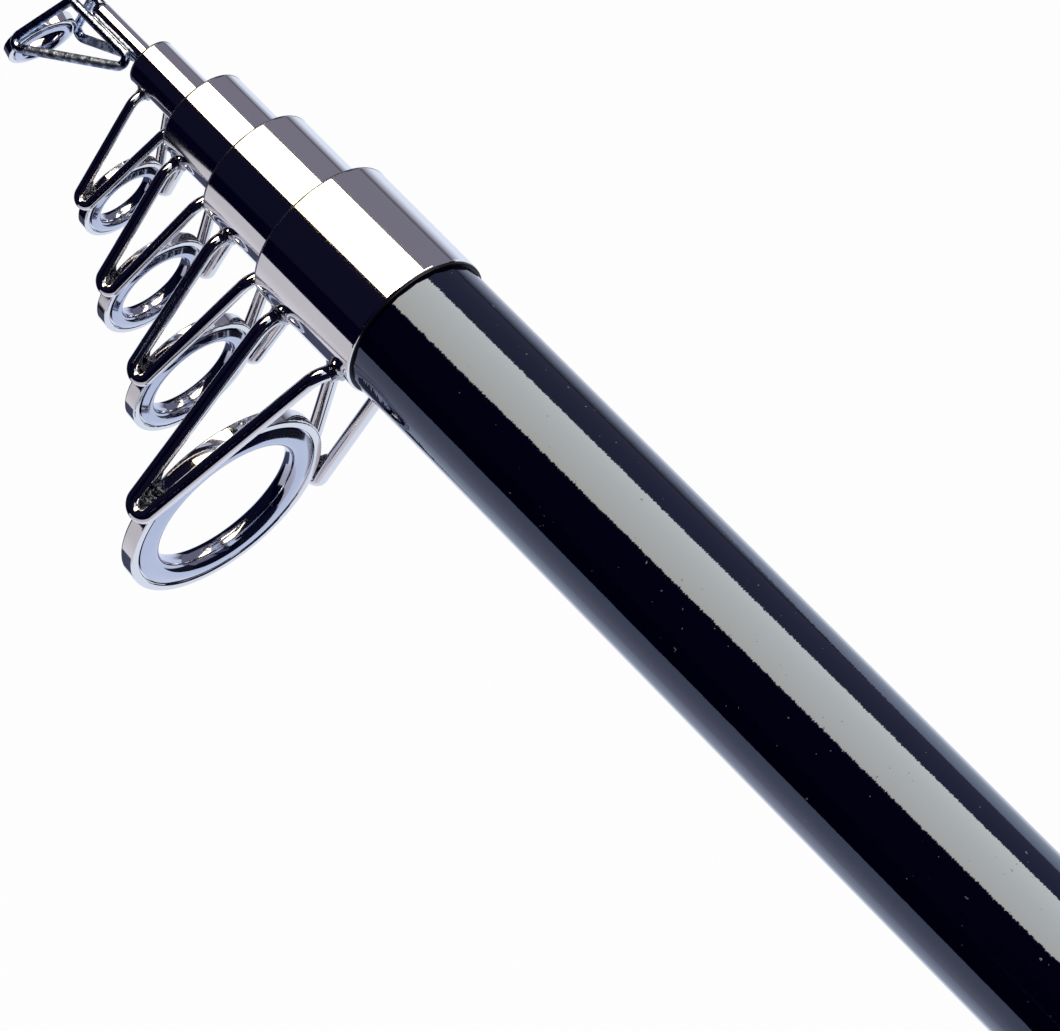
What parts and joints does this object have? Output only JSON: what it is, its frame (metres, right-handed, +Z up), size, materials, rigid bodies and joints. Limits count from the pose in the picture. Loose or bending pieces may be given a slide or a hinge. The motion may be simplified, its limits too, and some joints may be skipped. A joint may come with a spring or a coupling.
{
  "type": "telescopic fishing rod",
  "caption": "Closed telescopic fishing rod: nested tapered blanks, stepped chrome collars with wire line guides, a tip top, screw reel seat, foam grips and a butt cap.",
  "frame": {"origin": "on the rod's axis at the rear end of the rear grip's straight wall", "axes": "+X along the rod towards its tip, +Z up, the line guides and the reel's foot on the -Z side"},
  "size_m": [0.5222, 0.028, 0.0569],
  "materials": {
    "lacquered_blank": "composite blank under thick clear gloss lacquer",
    "chrome": "bright mirror chrome on a drawn tube",
    "guide_wire": "polished dark chrome on round wire",
    "ring_band": "mirror chrome band",
    "ring_insert": "hard polished insert, pale blue grey",
    "foam_grip": "closed-cell foam, fine sanded grain",
    "trim_ring": "turned and polished",
    "seat_barrel": "moulded glass-filled nylon",
    "hood_metal": "satin stainless steel",
    "lock_nut": "moulded glass-filled nylon",
    "thread_socket": "turned",
    "butt_cap": "moulded, semi gloss",
    "cushion": "soft rubber"
  },
  "bodies": {
    "butt": {"butt_blank": "lacquered_blank", "butt_guide_collar": "chrome", "butt_guide_left_wire": "guide_wire", "butt_guide_right_wire": "guide_wire", "butt_guide_ring": "ring_band", "butt_guide_insert": "ring_insert", "rear_grip": "foam_grip", "fore_grip": "foam_grip", "winding_check": "trim_ring", "reel_seat": "seat_barrel", "fixed_hood": "hood_metal", "cap_socket": "thread_socket"},
    "second_section": {"second_blank": "lacquered_blank", "second_guide_collar": "chrome", "second_guide_left_wire": "guide_wire", "second_guide_right_wire": "guide_wire", "second_guide_ring": "ring_band", "second_guide_insert": "ring_insert"},
    "third_section": {"third_blank": "lacquered_blank", "third_guide_collar": "chrome", "third_guide_left_wire": "guide_wire", "third_guide_right_wire": "guide_wire", "third_guide_ring": "ring_band", "third_guide_insert": "ring_insert"},
    "fourth_section": {"fourth_blank": "lacquered_blank", "fourth_guide_collar": "chrome", "fourth_guide_left_wire": "guide_wire", "fourth_guide_right_wire": "guide_wire", "fourth_guide_ring": "ring_band", "fourth_guide_insert": "ring_insert"},
    "tip_section": {"tip_blank": "lacquered_blank", "tip_top_tube": "chrome", "tip_top_left_wire": "guide_wire", "tip_top_right_wire": "guide_wire", "tip_top_ring": "ring_band", "tip_top_insert": "ring_insert"},
    "sliding_hood": {"sliding_hood": "hood_metal"},
    "lock_nut": {"lock_nut": "lock_nut"},
    "butt_cap": {"butt_cap": "butt_cap", "cap_cushion": "cushion"}
  },
  "joints": [
    {"name": "second_slide", "type": "slide", "parent": "butt", "child": "second_section", "axis": [1, 0, 0], "range_m": [0, 0.4]},
    {"name": "third_slide", "type": "slide", "parent": "second_section", "child": "third_section", "axis": [1, 0, 0], "range_m": [0, 0.41]},
    {"name": "fourth_slide", "type": "slide", "parent": "third_section", "child": "fourth_section", "axis": [1, 0, 0], "range_m": [0, 0.418]},
    {"name": "tip_slide", "type": "slide", "parent": "fourth_section", "child": "tip_section", "axis": [1, 0, 0], "range_m": [0, 0.427]},
    {"name": "hood_slide", "type": "slide", "parent": "butt", "child": "sliding_hood", "axis": [-1, 0, 0], "range_m": [0, 0.02]},
    {"name": "nut_turn", "type": "hinge", "parent": "sliding_hood", "child": "lock_nut", "pos_m": [0.1936, 0, 0], "axis": [-1, 0, 0], "range_deg": [0, 3600]},
    {"name": "cap_slide", "type": "slide", "parent": "butt", "child": "butt_cap", "axis": [-1, 0, 0], "range_m": [0, 0.025]}
  ],
  "couplings": [
    {"joint": "nut_turn", "follows": "hood_slide", "rad_per_m": 3141.5}
  ]
}
